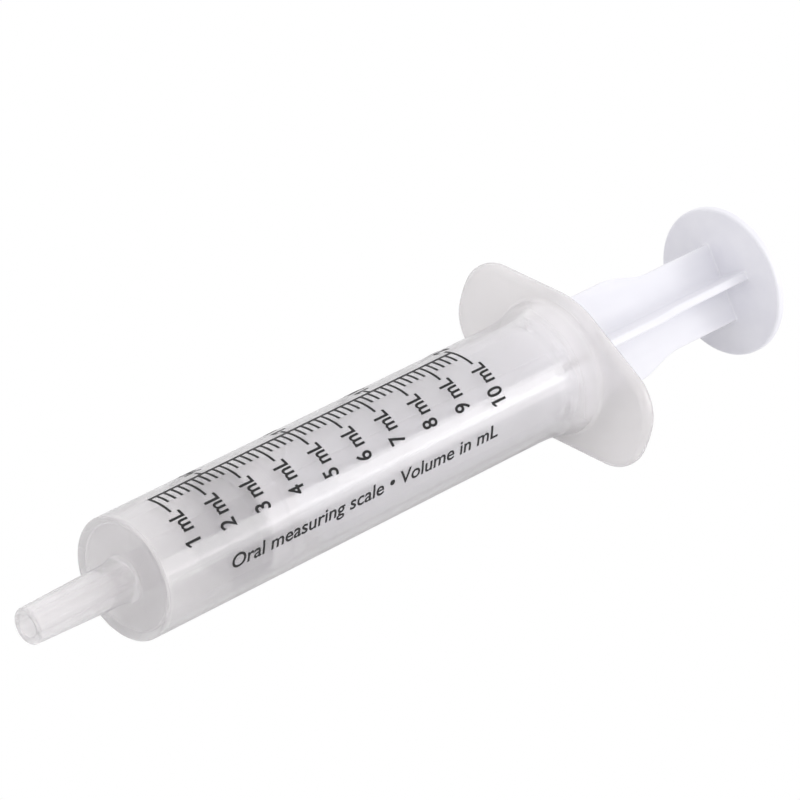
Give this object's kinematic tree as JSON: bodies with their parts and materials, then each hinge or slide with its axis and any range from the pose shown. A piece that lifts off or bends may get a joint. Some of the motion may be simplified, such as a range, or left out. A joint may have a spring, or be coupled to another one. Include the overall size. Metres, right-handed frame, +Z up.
{
  "type": "oral syringe",
  "caption": "Oral dosing syringe: graduated translucent barrel with long nozzle and finger flange, sliding seal and cross-finned plunger rod with round thumb disc.",
  "frame": {"origin": "centre of the overall plan at the level of the flange's lowest point, 10.8 mm under the barrel's axis", "axes": "+X along the barrel's axis, from the nozzle to the thumb disc; +Z up; +Y along the flange's lobes; the nozzle points to -X"},
  "size_m": [0.1274, 0.0346, 0.0216],
  "materials": {
    "barrel": "translucent natural polypropylene, moulded gloss",
    "plunger_seal": "satin white silicone",
    "plunger_rod": "satin white polypropylene",
    "scale_ink": "black printed ink, satin"
  },
  "bodies": {
    "barrel": {"barrel": "barrel"},
    "seal": {"plunger_seal": "plunger_seal"},
    "rod": {"plunger_rod": "plunger_rod"}
  },
  "joints": [
    {"name": "seal_slide", "type": "slide", "parent": "barrel", "child": "seal", "axis": [1, 0, 0], "range_m": [-0.0156, 0.047]},
    {"name": "rod_turn", "type": "hinge", "parent": "seal", "child": "rod", "pos_m": [-0.02409, 0, 0.0108], "axis": [1, 0, 0], "continuous": true}
  ]
}
